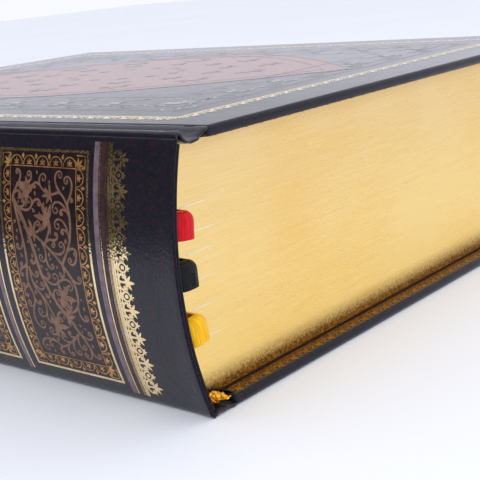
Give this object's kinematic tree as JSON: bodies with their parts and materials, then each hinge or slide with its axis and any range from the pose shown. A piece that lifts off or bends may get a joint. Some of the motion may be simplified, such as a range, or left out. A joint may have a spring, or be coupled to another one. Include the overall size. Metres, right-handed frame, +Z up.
{
  "type": "prayer book",
  "caption": "Thick leather-bound prayer book with rounded spine, gilt edges and three ribbon markers; both covers and the leaves between the ribbons turn.",
  "frame": {"origin": "on the table under the middle of the closed book, at the centre of its outline", "axes": "+X from the spine to the fore edge, +Y from the head to the tail, +Z up through the thickness; the book lies on its lower cover"},
  "size_m": [0.254, 0.304, 0.08],
  "materials": {
    "cover_leather": "fine-grained, satin, stamped with gold foil",
    "grey_board": "matt",
    "endpaper": "dark, satin",
    "gilt_leaves": "cream paper with burnished gilt edges",
    "sewn_paper": "folded and glued",
    "lining_cloth": "open cotton weave",
    "band_silk": "embroidered bead",
    "ribbon_red": "satin ribbon",
    "ribbon_black": "satin ribbon",
    "ribbon_yellow": "satin ribbon"
  },
  "bodies": {
    "lower_cover": {"lower_cover_leather": "cover_leather", "lower_cover_board": "grey_board", "lower_pastedown": "endpaper", "lower_joint_leather": "cover_leather"},
    "book_block": {"spine_leather": "cover_leather", "spine_inlay": "grey_board", "spine_lining": "lining_cloth", "sewn_back": "sewn_paper", "head_band": "band_silk", "tail_band": "band_silk", "leaves_4": "gilt_leaves", "lower_flyleaf": "endpaper", "ribbon_yellow": "ribbon_yellow", "upper_joint_leather": "cover_leather"},
    "leaf_stack_3": {"leaves_3": "gilt_leaves", "ribbon_black": "ribbon_black"},
    "leaf_stack_2": {"leaves_2": "gilt_leaves", "ribbon_red": "ribbon_red"},
    "leaf_stack_1": {"leaves_1": "gilt_leaves", "upper_flyleaf": "endpaper"},
    "upper_cover": {"upper_cover_leather": "cover_leather", "upper_cover_board": "grey_board", "upper_pastedown": "endpaper"}
  },
  "joints": [
    {"name": "lower_cover_hinge", "type": "hinge", "parent": "lower_cover", "child": "book_block", "pos_m": [-0.1193, 0, 0], "axis": [0, 1, 0], "range_deg": [-60, 0], "deforming": ["lower_joint_leather"]},
    {"name": "upper_cover_hinge", "type": "hinge", "parent": "book_block", "child": "upper_cover", "pos_m": [-0.114, 0, 0.0805], "axis": [0, -1, 0], "range_deg": [0, 178], "deforming": ["upper_joint_leather"]},
    {"name": "leaf_stack_1_turn", "type": "hinge", "parent": "book_block", "child": "leaf_stack_1", "pos_m": [-0.1147, 0, 0.076], "axis": [0, -1, 0], "range_deg": [0, 109]},
    {"name": "leaf_stack_2_turn", "type": "hinge", "parent": "book_block", "child": "leaf_stack_2", "pos_m": [-0.1147, 0, 0.0546], "axis": [0, -1, 0], "range_deg": [0, 54], "deforming": ["ribbon_red"]},
    {"name": "leaf_stack_3_turn", "type": "hinge", "parent": "book_block", "child": "leaf_stack_3", "pos_m": [-0.1147, 0, 0.0411], "axis": [0, -1, 0], "range_deg": [0, 26], "deforming": ["ribbon_black"]}
  ],
  "couplings": [
    {"joint": "leaf_stack_1_turn", "follows": "upper_cover_hinge", "ratio": 0.61},
    {"joint": "leaf_stack_2_turn", "follows": "upper_cover_hinge", "ratio": 0.3},
    {"joint": "leaf_stack_3_turn", "follows": "upper_cover_hinge", "ratio": 0.145}
  ]
}
